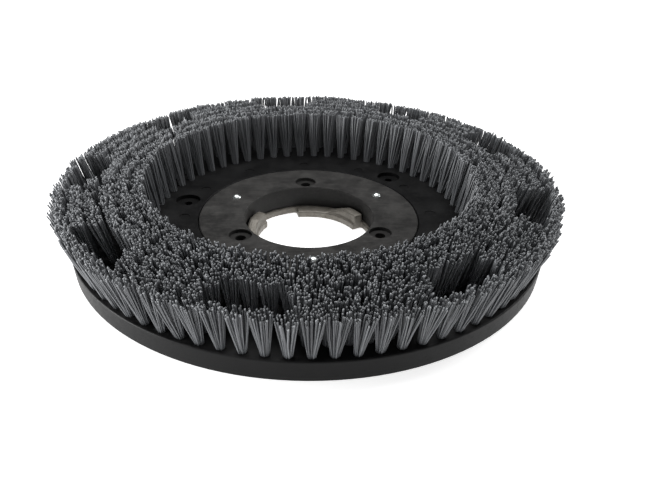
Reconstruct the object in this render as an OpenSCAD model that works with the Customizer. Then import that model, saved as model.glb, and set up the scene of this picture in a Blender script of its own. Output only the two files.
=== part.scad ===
// Rotary floor-scrubbing brush, lying on its back with the bristles up.
// Origin: on the rotation axis, in the plane that the drive ring rests on.
// +Z runs along the axis towards the bristle tips; angles turn about +Z from +X.

/* [Block] */
// Outer radius of the block at its bristle face
block_r = 231.5; // [231:0.5:240]
// Thickness of the block
block_t = 20; // [18:0.5:24]
// Radius of the block's central opening
block_bore_r = 111.2; // [111.2:0.1:112]
// Height of the block's back above the resting plane
block_z = 10.5; // [9.5:0.5:12]

/* [Bristles] */
// Base radius of the innermost row of tufts
inner_row_r = 155; // [153:0.5:156]
// Base radius of the outermost row of tufts
outer_row_r = 224; // [222:0.5:225]
// Free length of the bristles in the innermost row
inner_bristle_l = 52; // [30:0.5:60]
// Free length of the bristles in the outermost row
outer_bristle_l = 48.5; // [30:0.5:60]
// Lean of the innermost row away from the axis, in degrees
inner_lean = 11.5; // [8:0.5:12]
// Lean of the outermost row away from the axis, in degrees
outer_lean = 16.5; // [12:0.5:18]
// Radius of a tuft where it leaves its hole
tuft_r = 4; // [3.5:0.1:4.2]
// Radius of a tuft's tip in the innermost row
inner_tip_r = 6.9; // [5:0.1:7]
// Radius of a tuft's tip in the outermost row
outer_tip_r = 7.2; // [6:0.1:7.2]
// Number of bristle pockets round the brush
pockets = 9; // [9:9:9]
// Direction of the first pocket's middle
pocket_angle = 18.6; // [0:0.1:40]

/* [Hub ring] */
// Outer radius of the hub ring
hub_r = 110.6; // [110:0.1:110.8]
// Radius of the hub ring's bore
hub_bore_r = 65; // [64.5:0.5:68]
// Radius of the mounting flange behind the block
flange_r = 148; // [146:0.5:149]

/* [Drive ring] */
// Thickness of the drive ring
drive_t = 7.2; // [6:0.1:8]
// Outer radius of the drive ring
drive_r = 97; // [95:0.5:100]
// Height of the drive bosses above the resting plane
boss_z = 16.5; // [12:0.5:17]

/* [Hidden] */
$fn = 96;
gap = 0.3;                         // overshoot of a cutting body past the face it cuts

// Colours, as red, green and blue
plastic_black = [0.05, 0.05, 0.055];
hub_black = [0.07, 0.07, 0.07];
cast_grey = [0.62, 0.59, 0.54];
zinc = [0.82, 0.85, 0.84];
nylon_grey = [0.24, 0.25, 0.27];
steel = [0.55, 0.55, 0.56];

// Block
block_top = block_z + block_t;
rim_draft = 1.5;                   // how much smaller the block's back is
edge_r = 1.5;                      // rounding of the rim's edges
edge_c = 0.8;                      // chamfer on the edges of the opening and the hub ring
rebate_t = 5;                      // depth of the rebate that takes the hub ring's flange
rebate_play = 0.3;
adapter_hole_pcr = 130.5;          // three counterbored through holes
adapter_hole_angle = 46.4;
adapter_hole_r = 4;
adapter_cbore_r = 12.5;
adapter_cbore_t = 4;
ejector_marks = 12;                // shallow round marks that the mould's pins leave
ejector_pcr = 125;
ejector_angle = 3;
ejector_r = 5.5;
ejector_t = 0.5;

// Rows of tufts, counted from the inside: how many places each has, its first place, and how
// many places each pocket leaves empty
rows = 6;
row_places = [60, 63, 72, 72, 81, 81];
row_missing = [0, 0, 0, 3, 4, 0];
row_start = [4, 1.5, 1.1, 0, 0, -0.3];
pocket_late = [1, 0, 0, 0, 0, 0, 0, 1, 1];  // places by which each pocket comes after its even turn
hole_t = 12;                       // depth of a tuft hole below the bristle face
hole_play = 0.1;
straight_l = 2;                    // stretch above the face before a tuft fans out
tip_c = 1.2;                       // bevel round a tuft's cut end
anchor_l = 8.1;                    // flat anchor that pins the folded tuft in its hole
anchor_h = 2.2;
anchor_t = 0.5;
anchor_up = 1.5;                   // height of the anchor above the hole's bottom

// Hub ring
flange_top = block_z + rebate_t;
bore_step_z = 17;                  // the bore is wider below, round the drive bosses
bore_relief_r = hub_bore_r + 1.5;
spare_hole_pcr = 78.4;             // three counterbored holes for another drive ring
spare_hole_angle = 93;
spare_hole_r = 5.2;
spare_cbore_r = 11.2;
spare_cbore_t = 3.5;
rivet_pcr = 86.5;
rivet_angle = 33;
rivet_r = 2.75;
rivet_head_r = 4.85;
rivet_head_t = 2.6;
rivet_tail_r = 4.6;
rivet_tail_t = 2.2;
tail_pocket_r = 6;
tail_pocket_t = 3;

// Screws that hold the hub ring to the block
screws = 6;
screw_pcr = 130.5;
screw_angle = adapter_hole_angle + 30;
screw_r = 3;
screw_l = 18;
screw_head_r = 5.6;
screw_head_t = 3.4;
screw_recess_r = 2;
screw_recess_t = 1.8;
washer_r = 7;
washer_t = 1.2;
screw_pocket_r = 8;
screw_pocket_t = 3.2;

// Drive ring: three ledges that the machine's lugs turn onto, each with a ramp and a boss
ledges = 3;
notch_r = 63.5;
ledge_r = 52;
boss_in_r = 54;
boss_out_r = 64.2;
boss_from = 27;
boss_to = 45;
ramp_to = 70;                      // where the ramp's middle meets the ledge
ramp_end = 82;                     // past the place where the ramp's inner corner meets it
ledge_to = 103;

// Base radius, bristle length, tip radius of a tuft and lean of row i
function row_r(i) = inner_row_r + (outer_row_r - inner_row_r) * i / (rows - 1);
function row_l(i) = inner_bristle_l + (outer_bristle_l - inner_bristle_l) * i / (rows - 1);
function row_tip_r(i) = inner_tip_r + (outer_tip_r - inner_tip_r) * i / (rows - 1);
function row_lean(i) = inner_lean + (outer_lean - inner_lean) * i / (rows - 1);

// Direction of place 0 of row i. In a row with pockets it starts the first pocket, were that on time.
function row_first(i) = row_missing[i] > 0
    ? pocket_angle - (row_missing[i] - 1) / 2 * 360 / row_places[i]
    : row_start[i];

// Places of row i that hold a tuft, from the end of each pocket to the start of the next
function row_filled(i) = row_missing[i] == 0
    ? [for (k = [0:row_places[i] - 1]) k]
    : [for (p = [0:pockets - 1]) each [pocket_start(i, p) + row_missing[i]:pocket_start(i, p + 1) - 1]];

// First place that pocket p leaves empty in row i
function pocket_start(i, p) = p * row_places[i] / pockets + pocket_late[p % pockets];

// Puts the children at count places on a circle of radius pcr, at height z
module on_circle(count, pcr, first, z = 0) {
    for (k = [0:count - 1])
        rotate([0, 0, first + k * 360 / count]) translate([pcr, 0, z]) children();
}

// Puts the children at every tuft of row i, with Z along the leaning tuft from the bristle face
module at_tufts(i) {
    for (k = row_filled(i))
        rotate([0, 0, row_first(i) + k * 360 / row_places[i]])
            translate([row_r(i), 0, block_top]) rotate([0, row_lean(i), 0]) children();
}

// Sector of a flat ring, from one angle to another, less than 180 degrees
module sector(r_in, r_out, from, to, z0, z1) {
    reach = r_out / cos((to - from) / 2) + 1;
    translate([0, 0, z0]) linear_extrude(z1 - z0) intersection() {
        difference() {
            circle(r_out);
            circle(r_in);
        }
        polygon([[0, 0], reach * [cos(from), sin(from)], reach * [cos(to), sin(to)]]);
    }
}

// ---- Block ----

module block_profile() {
    top_edge = block_r - edge_r;
    bottom_edge = block_r - rim_draft - edge_r;
    polygon(concat(
        [[block_bore_r, flange_top], [block_bore_r, block_top - edge_c], [block_bore_r + edge_c, block_top]],
        [for (a = [90:-15:0]) [top_edge + edge_r * cos(a), block_top - edge_r + edge_r * sin(a)]],
        [for (a = [0:-15:-90]) [bottom_edge + edge_r * cos(a), block_z + edge_r + edge_r * sin(a)]],
        [[flange_r + rebate_play, block_z], [flange_r + rebate_play, flange_top]]
    ));
}

module anchor() {
    translate([-anchor_t / 2, -anchor_l / 2, anchor_up - hole_t]) cube([anchor_t, anchor_l, anchor_h]);
}

module tuft_hole() {
    translate([0, 0, -hole_t]) cylinder(r = tuft_r + hole_play, h = hole_t + 3, $fn = 32);
}

module brush_block() {
    color(plastic_black) difference() {
        rotate_extrude($fn = 180) block_profile();
        for (i = [0:rows - 1]) at_tufts(i) tuft_hole();
        on_circle(3, adapter_hole_pcr, adapter_hole_angle, block_z - gap)
            cylinder(r = adapter_hole_r, h = block_t + 2 * gap);
        on_circle(3, adapter_hole_pcr, adapter_hole_angle, block_top - adapter_cbore_t)
            cylinder(r = adapter_cbore_r, h = adapter_cbore_t + gap);
        on_circle(ejector_marks, ejector_pcr, ejector_angle, block_top - ejector_t)
            cylinder(r = ejector_r, h = ejector_t + gap);
        on_circle(screws, screw_pcr, screw_angle, flange_top - gap)
            cylinder(r = screw_r, h = screw_l - screw_reach() + gap);
    }
}

// ---- Bristles ----

module tuft_profile(tip_r, l) {
    polygon([[0, -hole_t], [tuft_r, -hole_t], [tuft_r, straight_l], [tip_r, l - tip_c], [tip_r - tip_c, l], [0, l]]);
}

module tuft_row(i) {
    color(nylon_grey) at_tufts(i) difference() {
        rotate_extrude($fn = 32) tuft_profile(row_tip_r(i), row_l(i));
        anchor();
    }
}

module anchor_row(i) {
    color(steel) at_tufts(i) anchor();
}

// ---- Hub ring ----

module hub_profile() {
    polygon([
        [bore_relief_r, drive_t], [bore_relief_r, bore_step_z], [hub_bore_r, bore_step_z],
        [hub_bore_r, block_top - edge_c], [hub_bore_r + edge_c, block_top],
        [hub_r - edge_c, block_top], [hub_r, block_top - edge_c], [hub_r, flange_top],
        [flange_r, flange_top], [flange_r, drive_t + edge_c], [flange_r - edge_c, drive_t]
    ]);
}

module hub_ring() {
    color(hub_black) difference() {
        rotate_extrude($fn = 180) hub_profile();
        on_circle(3, spare_hole_pcr, spare_hole_angle, drive_t - gap)
            cylinder(r = spare_hole_r, h = block_top - drive_t + 2 * gap);
        on_circle(3, spare_hole_pcr, spare_hole_angle, block_top - spare_cbore_t)
            cylinder(r = spare_cbore_r, h = spare_cbore_t + gap);
        on_circle(3, rivet_pcr, rivet_angle, drive_t - gap)
            cylinder(r = rivet_r, h = block_top - drive_t + 2 * gap);
        on_circle(3, adapter_hole_pcr, adapter_hole_angle, drive_t - gap)
            cylinder(r = adapter_hole_r, h = flange_top - drive_t + 2 * gap);
        on_circle(screws, screw_pcr, screw_angle, drive_t - gap)
            cylinder(r = screw_r, h = flange_top - drive_t + 2 * gap);
        on_circle(screws, screw_pcr, screw_angle, drive_t - gap)
            cylinder(r = screw_pocket_r, h = screw_pocket_t + gap);
    }
}

// ---- Drive ring ----

// The boss at the end of a ledge, and the ramp that falls in a plane from the boss to the ledge
module boss() {
    run = (boss_in_r + boss_out_r) / 2 * sin(ramp_to - boss_to);
    fall = (boss_z - drive_t) / run;
    difference() {
        sector(boss_in_r, boss_out_r, boss_from, ramp_end, drive_t / 2, boss_z);
        rotate([0, 0, boss_to]) translate([boss_out_r + 5, 0, 0]) rotate([90, 0, -90])
            linear_extrude(boss_out_r) polygon([
                [0, boss_z], [-2 * run, boss_z - 2 * run * fall], [-2 * run, boss_z + 1], [0, boss_z + 1]
            ]);
    }
}

module drive_ring() {
    notch_from = ledge_to - 360 / ledges;
    color(cast_grey) difference() {
        union() {
            rotate_extrude($fn = 180)
                polygon([[ledge_r, 0], [ledge_r, drive_t], [drive_r, drive_t], [drive_r, edge_c], [drive_r - edge_c, 0]]);
            for (k = [0:ledges - 1]) rotate([0, 0, k * 360 / ledges]) boss();
        }
        for (k = [0:ledges - 1]) rotate([0, 0, k * 360 / ledges])
            sector(ledge_r - 1, notch_r, notch_from, boss_from, -gap, drive_t + gap);
        on_circle(3, rivet_pcr, rivet_angle, -gap) cylinder(r = rivet_r, h = drive_t + 2 * gap);
        on_circle(3, rivet_pcr, rivet_angle, -gap) cylinder(r = tail_pocket_r, h = tail_pocket_t + gap);
        on_circle(3, spare_hole_pcr, spare_hole_angle, -gap) cylinder(r = spare_hole_r, h = drive_t + 2 * gap);
    }
}

// ---- Fasteners ----

// Cap of a ball, standing on Z = 0
module dome(r, h) {
    ball_r = (r * r + h * h) / (2 * h);
    intersection() {
        translate([0, 0, h - ball_r]) sphere(ball_r);
        cylinder(r = r + 1, h = h + 1);
    }
}

module drive_rivets() {
    color(zinc) on_circle(3, rivet_pcr, rivet_angle) {
        translate([0, 0, block_top]) dome(rivet_head_r, rivet_head_t);
        translate([0, 0, tail_pocket_t]) cylinder(r = rivet_r, h = block_top - tail_pocket_t);
        translate([0, 0, tail_pocket_t - rivet_tail_t]) cylinder(r = rivet_tail_r, h = rivet_tail_t);
    }
}

// Height of the seat under the screws' washers
function screw_seat() = drive_t + screw_pocket_t;

// Length of a screw that stays inside the washer and the hub ring's flange
function screw_reach() = flange_top - screw_seat() + washer_t;

module hub_screws() {
    color(zinc) on_circle(screws, screw_pcr, screw_angle, screw_seat() - washer_t) difference() {
        union() {
            cylinder(r = screw_r, h = screw_l);
            mirror([0, 0, 1]) dome(screw_head_r, screw_head_t);
        }
        translate([0, 0, -screw_head_t - gap]) cylinder(r = screw_recess_r, h = screw_recess_t + gap, $fn = 6);
    }
}

module hub_washers() {
    color(zinc) on_circle(screws, screw_pcr, screw_angle, screw_seat() - washer_t) difference() {
        cylinder(r = washer_r, h = washer_t);
        translate([0, 0, -gap]) cylinder(r = screw_r, h = washer_t + 2 * gap);
    }
}

brush_block();
hub_ring();
drive_ring();
drive_rivets();
hub_screws();
hub_washers();
for (i = [0:rows - 1]) {
    tuft_row(i);
    anchor_row(i);
}
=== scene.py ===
"""Looks of a rotary floor-scrubbing brush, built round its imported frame.

The block, hub ring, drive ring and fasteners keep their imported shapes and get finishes. Every row
of tufts is replaced by loose filaments that fan out from the same holes along the same axes.
"""

from __future__ import annotations

import logging
import math
from dataclasses import dataclass, field
from enum import Enum
from typing import Sequence, Union

import bmesh
import bpy
import numpy as np
from mathutils import Matrix, Vector


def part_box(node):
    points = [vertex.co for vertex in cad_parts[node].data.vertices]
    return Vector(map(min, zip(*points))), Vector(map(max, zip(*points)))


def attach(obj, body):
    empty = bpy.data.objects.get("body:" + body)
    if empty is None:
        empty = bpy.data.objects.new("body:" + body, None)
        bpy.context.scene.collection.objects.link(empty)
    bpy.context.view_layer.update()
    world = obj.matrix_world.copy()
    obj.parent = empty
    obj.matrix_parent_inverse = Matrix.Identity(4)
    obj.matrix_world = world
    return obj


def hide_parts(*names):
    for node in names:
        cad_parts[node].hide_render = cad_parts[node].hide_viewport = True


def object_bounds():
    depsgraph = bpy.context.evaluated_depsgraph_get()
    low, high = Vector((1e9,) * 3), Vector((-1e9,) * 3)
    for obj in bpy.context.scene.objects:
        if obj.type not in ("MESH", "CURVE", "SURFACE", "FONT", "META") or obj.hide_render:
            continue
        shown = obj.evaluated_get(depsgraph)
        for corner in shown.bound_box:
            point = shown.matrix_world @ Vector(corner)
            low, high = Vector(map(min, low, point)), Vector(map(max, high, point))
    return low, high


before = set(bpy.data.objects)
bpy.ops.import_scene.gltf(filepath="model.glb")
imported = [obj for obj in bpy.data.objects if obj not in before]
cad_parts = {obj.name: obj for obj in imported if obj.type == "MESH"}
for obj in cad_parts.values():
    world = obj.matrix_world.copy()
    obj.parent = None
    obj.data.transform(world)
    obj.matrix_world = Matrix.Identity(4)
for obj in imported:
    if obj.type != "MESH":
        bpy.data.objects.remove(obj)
CAD_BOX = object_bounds()

log = logging.getLogger("brush")

MM = 0.001
BODY = "root"
WELD = 0.01 * MM
GOLDEN_ANGLE = math.pi * (3.0 - math.sqrt(5.0))
WHITE = (1.0, 1.0, 1.0, 1.0)

Colour = tuple[float, float, float]
Point = tuple[float, float, float]
Band = tuple[float, float]
Number = Union[float, "Val"]
Paint = Union[Colour, bpy.types.NodeSocket]


class Slot(Enum):
    """Names for the material slots of the pieces that are built anew; no piece is given one here.
    """

    CAST = "cast_metal"
    NYLON = "grit_nylon"


class Val:
    """A number that a shader works out, written with Python's operators."""

    def __init__(self, graph: "Graph", socket: bpy.types.NodeSocket) -> None:
        """Wraps a socket.

        Args:
            graph: The graph that the socket's node is in.
            socket: An output socket that gives a number.
        """
        self.graph = graph
        self.socket = socket

    def __add__(self, other: Number) -> "Val":
        """Sum with another value."""
        return self.graph.math("ADD", self, other)

    def __sub__(self, other: Number) -> "Val":
        """This value less another."""
        return self.graph.math("SUBTRACT", self, other)

    def __rsub__(self, other: Number) -> "Val":
        """Another value less this one."""
        return self.graph.math("SUBTRACT", other, self)

    def __mul__(self, other: Number) -> "Val":
        """Product with another value."""
        return self.graph.math("MULTIPLY", self, other)

    __radd__ = __add__
    __rmul__ = __mul__


class Graph:
    """The nodes of one material."""

    def __init__(self, name: str) -> None:
        """Starts a material with an empty node tree.

        Args:
            name: The material's name.
        """
        self.material = bpy.data.materials.new(name)
        self.material.use_nodes = True
        self.tree = self.material.node_tree
        self.tree.nodes.clear()

    def node(self, kind: str, settings: dict, inputs: dict) -> bpy.types.Node:
        """Adds a node, sets it up and feeds its sockets.

        Args:
            kind: The node's type.
            settings: Properties to set first. A ramp's stops are under "stops".
            inputs: Values, sockets or Vals, by socket name or number.

        Returns:
            The new node.
        """
        made = self.tree.nodes.new(kind)
        for key, value in settings.items():
            if key == "stops":
                self._set_stops(made.color_ramp, value)
            else:
                setattr(made, key, value)
        for key, value in inputs.items():
            target = made.inputs[key]
            source = value.socket if isinstance(value, Val) else value
            if isinstance(source, bpy.types.NodeSocket):
                self.tree.links.new(source, target)
            elif isinstance(source, tuple) and target.type == "RGBA":
                target.default_value = (*source, 1.0)
            else:
                target.default_value = source
        return made

    @staticmethod
    def _set_stops(ramp: bpy.types.ColorRamp, stops: Sequence[Band]) -> None:
        """Gives a ramp its two grey stops.

        Args:
            ramp: The ramp to set.
            stops: Place and grey level of each stop, in order.
        """
        for element, (place, level) in zip(ramp.elements, stops):
            element.position = place
            element.color = (level, level, level, 1.0)

    def math(self, operation: str, a: Number, b: Number = 0.0) -> Val:
        """Adds a Math node and returns its value."""
        made = self.node("ShaderNodeMath", {"operation": operation}, {0: a, 1: b})
        return Val(self, made.outputs[0])

    def place(self) -> bpy.types.NodeSocket:
        """Object coordinates, in metres in the frame."""
        return self.node("ShaderNodeTexCoord", {}, {}).outputs["Object"]

    def above(self, low: float, high: float) -> Val:
        """Number that rises from 0 to 1 between two heights.

        Args:
            low: Height where it starts to rise, in metres.
            high: Height from which it is 1, in metres.

        Returns:
            The number.
        """
        apart = self.node("ShaderNodeSeparateXYZ", {}, {"Vector": self.place()})
        rise = (Val(self, apart.outputs["Z"]) - low) * (1.0 / (high - low))
        return self.ramp(rise, (0.0, 1.0))

    def attribute(self, name: str) -> Val:
        """Number that a piece's own attribute holds."""
        made = self.node("ShaderNodeAttribute", {"attribute_name": name}, {})
        return Val(self, made.outputs["Fac"])

    def noise(self, grain: float, detail: float = 3.0, rough: float = 0.5,
              where: bpy.types.NodeSocket | None = None) -> Val:
        """Noise from 0 to 1.

        Args:
            grain: Size of one grain, in metres.
            detail: Octaves of detail.
            rough: Share that each octave keeps.
            where: Coordinates, or None for Object coordinates.

        Returns:
            The noise.
        """
        made = self.node("ShaderNodeTexNoise", {}, {
            "Vector": where or self.place(), "Scale": 1.0 / grain, "Detail": detail,
            "Roughness": rough,
        })
        return Val(self, made.outputs["Fac"])

    def streaks(self, length: float, width: float, turn: float) -> Val:
        """Noise drawn out into straight streaks that lie in the XY plane.

        Args:
            length: Length of a streak, in metres.
            width: Its width, in metres.
            turn: Its direction from the X axis, in radians.

        Returns:
            The noise.
        """
        turned = self.node("ShaderNodeMapping", {}, {
            "Vector": self.place(), "Rotation": (0.0, 0.0, -turn),
            "Scale": (width / length, 1.0, 1.0),
        })
        return self.noise(width, detail=2.0, where=turned.outputs["Vector"])

    def ramp(self, value: Val, band: Band, falling: bool = False) -> Val:
        """Number that goes from 0 to 1 while another crosses a band.

        Args:
            value: The other number.
            band: Where it starts and ends.
            falling: Whether the result goes from 1 to 0 instead.

        Returns:
            The number.
        """
        first, last = (1.0, 0.0) if falling else (0.0, 1.0)
        stops = ((band[0], first), (band[1], last))
        made = self.node("ShaderNodeValToRGB", {"stops": stops}, {"Fac": value})
        return Val(self, made.outputs["Color"])

    def blend(self, mask: Val, low: Paint, high: Paint) -> bpy.types.NodeSocket:
        """Mixes two colours.

        Args:
            mask: 0 for the low colour and 1 for the high one.
            low: A colour or a colour socket.
            high: A colour or a colour socket.

        Returns:
            The mixed colour's socket.
        """
        settings = {"data_type": "RGBA", "clamp_factor": True}
        return self.node("ShaderNodeMix", settings, {0: mask, 6: low, 7: high}).outputs[2]

    def bump(self, height: Val, depth: float, strength: float = 1.0,
             normal: bpy.types.NodeSocket | None = None) -> bpy.types.NodeSocket:
        """Bumps the surface.

        Args:
            height: The height, from 0 to 1.
            depth: How deep the whole height goes, in metres.
            strength: How strongly it shows, from 0 to 1.
            normal: A normal that is bumped already, or None.

        Returns:
            The new normal's socket.
        """
        inputs = {"Strength": strength, "Distance": depth, "Height": height}
        if normal is not None:
            inputs["Normal"] = normal
        return self.node("ShaderNodeBump", {}, inputs).outputs["Normal"]

    def finish(self, inputs: dict) -> bpy.types.Material:
        """Ends the material with its shader.

        Args:
            inputs: Values and sockets of the Principled shader.

        Returns:
            The material.
        """
        shader = self.node("ShaderNodeBsdfPrincipled", {}, inputs)
        self.node("ShaderNodeOutputMaterial", {}, {"Surface": shader.outputs[0]})
        return self.material


@dataclass(frozen=True)
class MouldedPlastic:
    """Black moulded plastic with a fine grain and flow marks, and dry scuffs on its upper face. Its
    upper face is painted lighter than its sides, partly dirt and partly painted top light and
    sheen.

    Attributes:
        dust_band: Levels of the patches' noise between which they turn dusty.
        scuff_band: The same for scuffs.
        mark_band: The same for straight marks.
        mark_turns: Directions of the straight marks, in radians.
        marks: How strongly the marks show beside the scuffs.
        sheen: Specular level.
        face_edge: Depth below the upper face over which the lighter colour of dirt and painted top
            light fades.
        side_dust_and_top_light: Share of the dirt and painted top light that the sides keep.
    """

    name: str
    body: Colour
    dust_and_top_light: Colour
    dust_and_top_light_amount: float
    roughness: float
    grain: float = 0.9 * MM
    grain_depth: float = 0.05 * MM
    grain_rough: float = 0.08
    patch: float = 26 * MM
    patch_depth: float = 0.25 * MM
    patch_rough: float = 0.22
    dust_band: Band = (0.38, 0.72)
    scuff: float = 5 * MM
    scuff_share: float = 0.5
    scuff_rough: float = 0.1
    scuff_band: Band = (0.5, 0.72)
    mark_length: float = 22 * MM
    mark_width: float = 1.1 * MM
    mark_band: Band = (0.62, 0.74)
    mark_turns: tuple[float, ...] = (0.35, 1.9, 2.8)
    marks: float = 1.6
    sheen: float = 0.12
    face_edge: float = 0.9 * MM
    side_dust_and_top_light: float = 0.25

    def material(self) -> bpy.types.Material:
        """Builds the finish's material."""
        g = Graph(self.name)
        face_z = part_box("brush_block")[1][2]
        # Painted top light: the upper face gets the lighter colour in full and the sides only a
        # share of it, partly dirt on the upper face and partly light falling from above.
        top = g.above(face_z - self.face_edge, face_z - 0.1 * self.face_edge)
        dust_and_top_light_mask = top * (1.0 - self.side_dust_and_top_light) + self.side_dust_and_top_light
        patches = g.noise(self.patch, detail=4.0, rough=0.6)
        scuffs = g.ramp(g.noise(self.scuff, detail=6.0, rough=0.7), self.scuff_band)
        for turn in self.mark_turns:
            marks = g.ramp(g.streaks(self.mark_length, self.mark_width, turn), self.mark_band)
            scuffs = scuffs + marks * self.marks
        fine = g.noise(self.grain, detail=2.0)
        # The lighter colour is partly dirt and scuffs and partly painted top light and sheen, made
        # stronger to stand in for a low specular level.
        dust_and_top_light = (
            g.ramp(patches, self.dust_band) * self.dust_and_top_light_amount
            + scuffs * self.dust_and_top_light_amount * self.scuff_share
        )
        rough = (
            self.roughness + (patches - 0.5) * self.patch_rough
            + scuffs * self.scuff_rough + (fine - 0.5) * self.grain_rough
        )
        soft = g.bump(patches, self.patch_depth, strength=0.35)
        return g.finish({
            "Base Color": g.blend(dust_and_top_light * dust_and_top_light_mask, self.body, self.dust_and_top_light),
            "Roughness": rough,
            "Normal": g.bump(fine, self.grain_depth, strength=0.5, normal=soft),
            "Specular IOR Level": self.sheen,
        })


@dataclass(frozen=True)
class CastMetal:
    """Warm grey cast metal with a sandy skin and darker pits.

    Attributes:
        pit_size: Size of a pit in grains of sand.
        pit_band: Levels of the pits' noise between which they end.
        patch_band: Levels of the patches' noise between which they darken.
        patch_share: Share of the darkening that patches give. Pits give the rest.
    """

    name: str
    body: Colour
    dark: Colour
    roughness: float = 0.5
    metallic: float = 0.4
    sand: float = 0.8 * MM
    sand_depth: float = 0.22 * MM
    pit_size: float = 2.2
    pit_band: Band = (0.3, 0.42)
    pit_rough: float = 0.15
    patch: float = 9 * MM
    patch_depth: float = 0.5 * MM
    patch_rough: float = 0.3
    patch_band: Band = (0.35, 0.75)
    patch_share: float = 0.6

    def material(self) -> bpy.types.Material:
        """Builds the finish's material."""
        g = Graph(self.name)
        sand = g.noise(self.sand, detail=4.0, rough=0.65)
        patches = g.noise(self.patch, detail=5.0, rough=0.6)
        waves = g.bump(patches, self.patch_depth, strength=0.5)
        pits = g.ramp(g.noise(self.sand * self.pit_size, detail=2.0), self.pit_band, falling=True)
        shade = (
            g.ramp(patches, self.patch_band) * self.patch_share + pits * (1.0 - self.patch_share)
        )
        rough = self.roughness + (patches - 0.5) * self.patch_rough + pits * self.pit_rough
        return g.finish({
            "Base Color": g.blend(shade, self.body, self.dark),
            "Roughness": rough,
            "Metallic": self.metallic,
            "Normal": g.bump(sand, self.sand_depth, strength=0.6, normal=waves),
        })


@dataclass(frozen=True)
class PlatedSteel:
    """Bright plated steel with a fine drawn grain.

    Attributes:
        cloud_band: Levels of the clouds' noise between which they turn to stain.
    """

    name: str
    body: Colour
    stain: Colour
    roughness: float
    cloud: float = 2.4 * MM
    cloud_rough: float = 0.2
    cloud_band: Band = (0.45, 0.8)
    grain: float = 0.25 * MM
    grain_depth: float = 0.02 * MM

    def material(self) -> bpy.types.Material:
        """Builds the finish's material."""
        g = Graph(self.name)
        cloud = g.noise(self.cloud, detail=4.0, rough=0.6)
        grain = g.noise(self.grain, detail=2.0)
        return g.finish({
            "Base Color": g.blend(g.ramp(cloud, self.cloud_band), self.body, self.stain),
            "Roughness": self.roughness + (cloud - 0.5) * self.cloud_rough,
            "Metallic": 1.0,
            "Normal": g.bump(grain, self.grain_depth, strength=0.5),
        })


@dataclass(frozen=True)
class GritNylon:
    """Grey nylon filament filled with grit.

    Each filament has its own shade, and cut ends are pale, partly from the cut and partly as a
    painted highlight of light off the flat ends.

    Attributes:
        shade_share: How much a filament's own shade lightens it.
        grit_share: How much the grit does.
        speck_share: How much specks of grit at the surface do.
        end_band: Places along a filament between which its cut end turns pale with the cut's colour
            and a painted highlight.
        end_and_highlight_share: How pale the cut end of the lightest filament is, cut colour and
            painted highlight together.
    """

    name: str
    dark: Colour
    light: Colour
    cut: Colour
    roughness: float = 0.45
    grit: float = 0.35 * MM
    grit_depth: float = 0.08 * MM
    grit_rough: float = 0.3
    grit_share: float = 0.6
    shade_share: float = 0.75
    speck: float = 0.5 * MM
    speck_band: Band = (0.62, 0.7)
    speck_share: float = 0.3
    end_band: Band = (0.97, 1.0)
    end_and_highlight_share: float = 0.75

    def material(self) -> bpy.types.Material:
        """Builds the finish's material."""
        g = Graph(self.name)
        shade = g.attribute("shade")
        grit = g.noise(self.grit, detail=3.0, rough=0.6)
        specks = g.ramp(g.noise(self.speck, detail=1.0), self.speck_band)
        lightness = (
            shade * self.shade_share + (grit - 0.5) * self.grit_share + specks * self.speck_share
        )
        side = g.blend(lightness, self.dark, self.light)
        # Painted highlight: the last bit of each filament turns pale, partly the cut's own colour
        # and partly light off the flat cut end.
        end = g.ramp(g.attribute("along"), self.end_band)
        return g.finish({
            "Base Color": g.blend(end * shade * self.end_and_highlight_share, side, self.cut),
            "Roughness": self.roughness + (grit - 0.5) * self.grit_rough,
            "Normal": g.bump(grit, self.grit_depth, strength=0.6),
        })


@dataclass(frozen=True)
class PaleFloor:
    """Even pale floor with a trace of its own light, so that shadows stay soft."""

    name: str
    body: Colour
    glow: float
    tone: float = 0.4
    darkest: float = 0.985
    roughness: float = 0.8

    def material(self) -> bpy.types.Material:
        """Builds the finish's material."""
        g = Graph(self.name)
        low = tuple(self.darkest * part for part in self.body)
        return g.finish({
            "Base Color": g.blend(g.noise(self.tone, detail=2.0), low, self.body),
            "Roughness": self.roughness,
            "Emission Color": self.body,
            "Emission Strength": self.glow,
        })


def dress(node: str, finish: bpy.types.Material) -> None:
    """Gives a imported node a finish.

    Args:
        node: The node's name.
        finish: The material for all of it.
    """
    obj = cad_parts[node]
    for slot in obj.material_slots:
        slot.material = finish
    log.info("%s keeps its packed shape and takes %s", node, finish.name)


@dataclass
class BrushBlock:
    """The moulded disc that holds the tufts."""

    # Its second, lighter colour is partly dirt and partly painted top light and sheen.
    finish: MouldedPlastic = MouldedPlastic(
        "block_black", body=(0.004, 0.004, 0.0042), dust_and_top_light=(0.02, 0.02, 0.0203), dust_and_top_light_amount=0.45,
        roughness=0.45,
    )

    def build(self) -> None:
        """Dresses the block."""
        dress("brush_block", self.finish.material())


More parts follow.
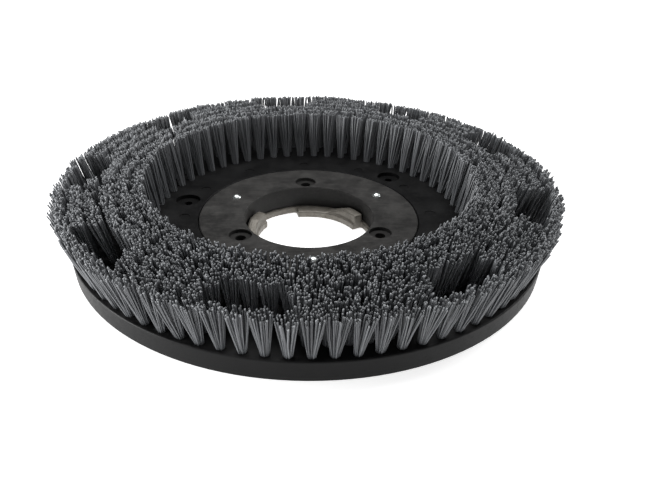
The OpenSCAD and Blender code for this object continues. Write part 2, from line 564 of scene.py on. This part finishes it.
@dataclass
class Hub:
    """The hub ring, the drive ring and what fastens them."""

    # Its second, lighter colour is partly dirt and partly painted top light and sheen.
    plastic: MouldedPlastic = MouldedPlastic(
        "hub_black", body=(0.023, 0.0225, 0.022), dust_and_top_light=(0.11, 0.107, 0.103), dust_and_top_light_amount=0.4,
        roughness=0.5,
    )
    cast: CastMetal = CastMetal(
        "drive_cast", body=(0.205, 0.191, 0.167), dark=(0.085, 0.073, 0.056)
    )
    zinc: PlatedSteel = PlatedSteel(
        "zinc_plate", body=(0.8, 0.84, 0.83), stain=(0.6, 0.64, 0.62), roughness=0.3
    )
    cast_grain: float = 1.0 * MM
    cast_smoothing: int = 5

    def build(self) -> None:
        """Dresses the hub's pieces, and rounds the drive ring's edges."""
        dress("hub_ring", self.plastic.material())
        self._cast_ring()
        zinc = self.zinc.material()
        for node in ("drive_rivets", "hub_screws", "hub_washers"):
            dress(node, zinc)

    def _cast_ring(self) -> bpy.types.Object:
        """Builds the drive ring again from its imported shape, with the soft edges of a casting.

        Returns:
            The piece.
        """
        copy = self._merged_copy("drive_ring")
        rough = bpy.data.objects.new("rough_ring", copy)
        bpy.context.scene.collection.objects.link(rough)
        remesh = rough.modifiers.new("cast_grain", "REMESH")
        remesh.mode = "VOXEL"
        remesh.voxel_size = self.cast_grain
        shaped = rough.evaluated_get(bpy.context.evaluated_depsgraph_get())
        bm = bmesh.new()
        bm.from_mesh(shaped.data)
        bpy.data.objects.remove(rough)
        bpy.data.meshes.remove(copy)
        for _ in range(self.cast_smoothing):
            bmesh.ops.smooth_vert(
                bm, verts=bm.verts, factor=0.5, use_axis_x=True, use_axis_y=True,
                use_axis_z=True,
            )
        for face in bm.faces:
            face.smooth = True
        mesh = bpy.data.meshes.new("cast_ring")
        bm.to_mesh(mesh)
        bm.free()
        mesh.materials.append(self.cast.material())
        piece = bpy.data.objects.new("cast_ring", mesh)
        bpy.context.scene.collection.objects.link(piece)
        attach(piece, BODY)
        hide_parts("drive_ring")
        log.info("cast_ring: %d faces", len(mesh.polygons))
        return piece

    @staticmethod
    def _merged_copy(node: str) -> bpy.types.Mesh:
        """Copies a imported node's mesh, with its doubled corners merged.

        Args:
            node: The node's name.

        Returns:
            The copy.
        """
        bm = bmesh.new()
        bm.from_mesh(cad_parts[node].data)
        bmesh.ops.remove_doubles(bm, verts=bm.verts, dist=WELD)
        mesh = bpy.data.meshes.new(f"{node}_copy")
        bm.to_mesh(mesh)
        bm.free()
        return mesh


@dataclass
class Tuft:
    """Where one tuft stands.

    Attributes:
        foot: The middle of the tuft at the bristle face.
        axis: Unit vector along the tuft, towards its tip.
        length: Length from the bristle face to the tip.
        tip_r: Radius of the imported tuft's tip.
    """

    foot: np.ndarray
    axis: np.ndarray
    length: float
    tip_r: float


@dataclass
class Filaments:
    """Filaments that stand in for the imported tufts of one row.

    Attributes:
        per_tuft: Filaments in a tuft.
        radius: Radius of a filament.
        bundle_r: Radius of the ring of outermost filaments in the hole.
        sides: Sides of a filament.
        fan: Radius of a tuft's tip, in packed tips.
        inner_across: How much wider a tip is along its row than across it, in the innermost row.
        outer_across: The same in the outermost row.
        scatter: How far a tip strays on its own.
        scatter_tail: Degrees of freedom of the spread, where few make far strays likelier.
        turn_noise: How far a filament strays round the tuft, in radians.
        sway: How far a filament bows out between its ends.
        trim: How much shorter than a packed tuft the filaments are on average.
        uneven: How much filaments of one tuft differ in length.
        tuft_uneven: How much tufts differ in length.
        tuft_lean: How far a whole tuft's tip strays.
        clumps: Bunches that the tips of a tuft gather in.
        clump_pull: Share of the way that a tip goes to the middle of its bunch.
        stations: Places along a filament where it is cut across.
        tapers: Radius at every station, in whole radii.
    """

    per_tuft: int = 39
    radius: float = 0.73 * MM
    bundle_r: float = 3.35 * MM
    sides: int = 5
    fan: float = 1.06
    inner_across: float = 1.2
    outer_across: float = 1.36
    scatter: float = 0.36 * MM
    scatter_tail: float = 4.0
    turn_noise: float = 0.12
    sway: float = 0.3 * MM
    trim: float = 2.0 * MM
    uneven: float = 0.85 * MM
    tuft_uneven: float = 0.55 * MM
    tuft_lean: float = 0.8 * MM
    clumps: int = 12
    clump_pull: float = 0.36
    stations: tuple[float, ...] = (-0.12, 0.0, 0.5, 0.988, 1.0)
    tapers: tuple[float, ...] = (1.0, 0.97, 0.97, 1.02, 0.6)

    def template(self) -> bpy.types.Mesh:
        """One filament of unit radius from Z = 0 to Z = 1, cut across at every station.

        It is inside out, because a tuft's directions are left-handed and turn it outside out.

        Returns:
            Its mesh, with the "shade" and "along" attributes still to be filled.
        """
        bm = bmesh.new()
        bmesh.ops.create_cone(
            bm, cap_ends=True, segments=self.sides, radius1=1.0, radius2=1.0, depth=1.0,
            matrix=Matrix.Translation((0.0, 0.0, 0.5)),
        )
        long_edges = [
            edge for edge in bm.edges if abs(edge.verts[0].co.z - edge.verts[1].co.z) > 0.5
        ]
        bmesh.ops.subdivide_edges(bm, edges=long_edges, cuts=len(self.stations) - 2)
        bmesh.ops.reverse_faces(bm, faces=bm.faces)
        for face in bm.faces:
            face.smooth = True
        mesh = bpy.data.meshes.new("filament")
        bm.to_mesh(mesh)
        bm.free()
        return mesh

    def tufts(self, node: str) -> list[Tuft]:
        """Reads where a packed row's tufts stand.

        Args:
            node: The row's node.

        Returns:
            One Tuft for each solid of the row.
        """
        face_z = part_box("brush_block")[1][2]
        bm = bmesh.new()
        bm.from_mesh(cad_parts[node].data)
        bmesh.ops.remove_doubles(bm, verts=bm.verts, dist=WELD)
        left = set(bm.verts)
        found = []
        while left:
            stack = [left.pop()]
            island = []
            while stack:
                vert = stack.pop()
                island.append(vert.co[:])
                for edge in vert.link_edges:
                    other = edge.other_vert(vert)
                    if other in left:
                        left.remove(other)
                        stack.append(other)
            found.append(self._tuft(np.array(island), face_z))
        bm.free()
        return sorted(found, key=lambda tuft: math.atan2(tuft.foot[1], tuft.foot[0]))

    @staticmethod
    def _tuft(points: np.ndarray, face_z: float) -> Tuft:
        """Works out a tuft's axis from its solid's corners.

        Args:
            points: The corners, one to a row.
            face_z: Height of the bristle face.

        Returns:
            The tuft.
        """
        middle = points.mean(axis=0)
        axis = np.linalg.svd(points - middle, full_matrices=False)[2][0]
        axis = axis * np.sign(axis[2])
        along = (points - middle) @ axis
        foot = middle + axis * (face_z - middle[2]) / axis[2]
        tip = middle + axis * along.max()
        off = np.linalg.norm(points - middle - np.outer(along, axis), axis=1)
        return Tuft(foot, axis, float((tip - foot) @ axis), float(off.max()))

    def _paths(self, tuft: Tuft, across: float, rng: np.random.Generator,
               ts: np.ndarray) -> tuple[np.ndarray, np.ndarray, np.ndarray]:
        """Middle lines of one tuft's filaments.

        Args:
            tuft: The tuft.
            across: How much wider the tuft's tip is along its row than across it.
            rng: The row's random numbers.
            ts: Places along a filament, 0 at the bristle face and 1 at the tip.

        Returns:
            Points by filament and place, and the tuft's two cross directions.
        """
        count = self.per_tuft
        radial = np.array([tuft.foot[0], tuft.foot[1], 0.0])
        cross = np.cross(tuft.axis, radial)
        cross /= np.linalg.norm(cross)
        other = np.cross(cross, tuft.axis)
        order = np.arange(count) + 0.5
        turn = order * GOLDEN_ANGLE + rng.uniform(0.0, 2.0 * math.pi)
        spread = np.sqrt(order / count)[:, None]
        base = self.bundle_r * spread * np.stack([np.cos(turn), np.sin(turn)], axis=1)
        tip_turn = turn + rng.normal(0.0, self.turn_noise, count)
        oval = np.stack([across * np.cos(tip_turn), np.sin(tip_turn)], axis=1)
        tip = self.fan * tuft.tip_r * spread * oval
        tip += rng.standard_t(self.scatter_tail, (count, 2)) * self.scatter
        heads = tip[rng.choice(count, self.clumps, replace=False)]
        apart = np.linalg.norm(tip[:, None, :] - heads[None, :, :], axis=2)
        nearest = np.argmin(apart, axis=1)
        tip += self.clump_pull * (heads[nearest] - tip) + rng.normal(0.0, self.tuft_lean, 2)
        reach = tuft.length - self.trim + rng.normal(0.0, self.tuft_uneven)
        reach = reach + rng.normal(0.0, self.uneven, count)
        bow = rng.standard_t(self.scatter_tail, (count, 2)) * self.sway
        share = np.maximum(ts, 0.0)
        flat = (
            base[:, None, :] * (1.0 - share)[None, :, None]
            + tip[:, None, :] * share[None, :, None]
            + bow[:, None, :] * np.sin(math.pi * share)[None, :, None]
        )
        rise = reach[:, None] * ts[None, :]
        points = (
            tuft.foot
            + rise[:, :, None] * tuft.axis
            + flat[:, :, :1] * cross
            + flat[:, :, 1:] * other
        )
        return points, cross, other

    def build(self, node: str, name: str, place: float, seed: int,
              finish: bpy.types.Material) -> bpy.types.Object:
        """Makes all filaments of a row as one piece.

        Args:
            node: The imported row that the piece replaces.
            name: The piece's name.
            place: Place of the row, 0 for the innermost and 1 for the outermost.
            seed: Seed of the row's random numbers.
            finish: The filaments' material.

        Returns:
            The piece.
        """
        rng = np.random.default_rng(seed)
        template = self.template()
        size = len(template.vertices)
        unit = np.empty(size * 3)
        template.vertices.foreach_get("co", unit)
        unit = unit.reshape(size, 3)
        step = np.rint(unit[:, 2] * (len(self.stations) - 1)).astype(int)
        ts = np.array(self.stations)
        width = np.array(self.tapers)[step] * self.radius

        tufts = self.tufts(node)
        across = self.inner_across + (self.outer_across - self.inner_across) * place
        blocks = []
        for tuft in tufts:
            points, cross, other = self._paths(tuft, across, rng, ts)
            round_it = (unit[:, :1] * cross + unit[:, 1:2] * other) * width[:, None]
            blocks.append(points[:, step, :] + round_it)
        coords = np.concatenate(blocks).reshape(-1)
        total = self.per_tuft * len(tufts)

        bm = bmesh.new()
        for _ in range(total):
            bm.from_mesh(template)
        mesh = bpy.data.meshes.new(name)
        bm.to_mesh(mesh)
        bm.free()
        bpy.data.meshes.remove(template)
        mesh.vertices.foreach_set("co", coords)
        shade = np.repeat(rng.uniform(0.0, 1.0, total), size)
        along = np.tile(ts[step], total)
        for title, values in (("shade", shade), ("along", along)):
            mesh.attributes.new(title, "FLOAT", "POINT").data.foreach_set("value", values)
        mesh.materials.append(finish)
        mesh.update()
        piece = bpy.data.objects.new(name, mesh)
        bpy.context.scene.collection.objects.link(piece)
        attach(piece, BODY)
        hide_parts(node)
        faces = len(mesh.polygons)
        log.info("%s: %d tufts, %d filaments, %d faces", name, len(tufts), total, faces)
        return piece


@dataclass
class Bristles:
    """All rows of tufts, and the anchors that hold them."""

    rows: int = 6
    seed: int = 40
    filaments: Filaments = field(default_factory=Filaments)
    nylon: GritNylon = GritNylon(
        "grit_nylon_grey", dark=(0.058, 0.061, 0.066), light=(0.15, 0.156, 0.165),
        # The cut colour is partly the cut end's own colour and partly a painted highlight.
        cut=(0.4, 0.415, 0.43),
    )
    steel: PlatedSteel = PlatedSteel(
        "anchor_steel", body=(0.5, 0.5, 0.51), stain=(0.32, 0.31, 0.3), roughness=0.4
    )

    def build(self) -> None:
        """Builds every row and dresses the anchors."""
        nylon = self.nylon.material()
        steel = self.steel.material()
        for row in range(1, self.rows + 1):
            place = (row - 1) / (self.rows - 1)
            name = f"bristles_row_{row}"
            self.filaments.build(f"tuft_row_{row}", name, place, self.seed + row, nylon)
            dress(f"anchor_row_{row}", steel)


@dataclass(frozen=True)
class SoftLight:
    """A soft light that faces the object.

    Attributes:
        name: The light's name.
        place: Where it stands.
        size: Its width and height.
        power: Its power, in watts.
    """

    name: str
    place: Point
    size: tuple[float, float]
    power: float

    def build(self) -> None:
        """Adds the light."""
        lamp = bpy.data.lights.new(self.name, "AREA")
        lamp.shape = "RECTANGLE"
        lamp.size, lamp.size_y = self.size
        lamp.energy = self.power
        obj = bpy.data.objects.new(self.name, lamp)
        obj.location = self.place
        obj.rotation_euler = (-Vector(self.place)).to_track_quat("-Z", "Y").to_euler()
        bpy.context.scene.collection.objects.link(obj)


@dataclass
class Studio:
    """Floor, lights and camera.

    Attributes:
        floor_half: Half the floor's side.
        surround_light: How brightly the surround lights the object.
        surround_look: How bright the surround looks.
        view_height: How far above the block's plane the camera looks down from, in radians.
        view_distance: Distance of the camera from the axis at the block's back.
        lens: Focal length, in millimetres.
        sensor: Width of the camera's sensor, in millimetres.
        tilt: How far the camera is turned about its line of sight, in radians.
        aim: Where the camera aims, as X and as height above the block's back.
    """

    floor: PaleFloor = PaleFloor("pale_floor", body=(0.94, 0.94, 0.94), glow=0.8)
    floor_half: float = 12.0
    surround_light: float = 0.1
    surround_look: float = 0.79
    lights: tuple[SoftLight, ...] = (
        SoftLight("top_softbox", (0.0, 0.3, 1.35), (1.3, 0.9), 17.5),
        SoftLight("left_softbox", (-1.4, -0.25, 0.22), (0.9, 0.4), 36.0),
        SoftLight("right_softbox", (1.4, 0.5, 0.7), (0.8, 0.6), 11.0),
        SoftLight("front_fill", (0.1, -1.6, 0.6), (1.3, 0.5), 4.5),
    )
    view_height: float = math.radians(29.2)
    view_distance: float = 0.7226
    lens: float = 38.77
    sensor: float = 36.0
    tilt: float = math.radians(1.35)
    aim: tuple[float, float] = (0.0171, -0.0142)

    def build(self) -> None:
        """Makes everything that isn't the object."""
        self._floor()
        self._world()
        for light in self.lights:
            light.build()
        self._camera()

    def _floor(self) -> None:
        """Lays the floor under the object's lowest point."""
        bm = bmesh.new()
        bmesh.ops.create_grid(bm, x_segments=1, y_segments=1, size=self.floor_half)
        bmesh.ops.translate(bm, verts=bm.verts, vec=(0.0, 0.0, CAD_BOX[0][2]))
        mesh = bpy.data.meshes.new("floor")
        bm.to_mesh(mesh)
        bm.free()
        mesh.materials.append(self.floor.material())
        floor = bpy.data.objects.new("floor", mesh)
        bpy.context.scene.collection.objects.link(floor)

    def _world(self) -> None:
        """Sets an even surround that lights the object dimly but looks as pale as the floor."""
        world = bpy.data.worlds.new("studio")
        world.use_nodes = True
        tree = world.node_tree
        tree.nodes.clear()
        pick = tree.nodes.new("ShaderNodeMixShader")
        seen = tree.nodes.new("ShaderNodeLightPath")
        tree.links.new(seen.outputs["Is Camera Ray"], pick.inputs[0])
        for slot, strength in ((1, self.surround_light), (2, self.surround_look)):
            back = tree.nodes.new("ShaderNodeBackground")
            back.inputs["Color"].default_value = WHITE
            back.inputs["Strength"].default_value = strength
            tree.links.new(back.outputs[0], pick.inputs[slot])
        end = tree.nodes.new("ShaderNodeOutputWorld")
        tree.links.new(pick.outputs[0], end.inputs["Surface"])
        bpy.context.scene.world = world
        bpy.context.scene.view_settings.view_transform = "Standard"

    def _camera(self) -> None:
        """Aims the camera down at the bristle side."""
        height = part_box("brush_block")[0][2]
        back_off = Vector((0.0, -math.cos(self.view_height), math.sin(self.view_height)))
        place = back_off * self.view_distance
        target = Vector((self.aim[0], 0.0, self.aim[1]))
        ahead = (target - place).normalized()
        right = ahead.cross(Vector((0.0, 0.0, 1.0))).normalized()
        above = right.cross(ahead)
        across = right * math.cos(self.tilt) + above * math.sin(self.tilt)
        upward = above * math.cos(self.tilt) - right * math.sin(self.tilt)
        turn = Matrix((across, upward, -ahead)).transposed().to_4x4()
        data = bpy.data.cameras.new("camera")
        data.sensor_width = self.sensor
        data.lens = self.lens
        data.clip_start = 0.01
        camera = bpy.data.objects.new("camera", data)
        camera.matrix_world = Matrix.Translation(place + Vector((0.0, 0.0, height))) @ turn
        bpy.context.scene.collection.objects.link(camera)
        bpy.context.scene.camera = camera


def main() -> None:
    """Builds the brush and its studio."""
    logging.basicConfig(level=logging.INFO, format="%(name)s: %(message)s")
    Studio().build()
    BrushBlock().build()
    Hub().build()
    Bristles().build()


if __name__ == "__main__":
    main()
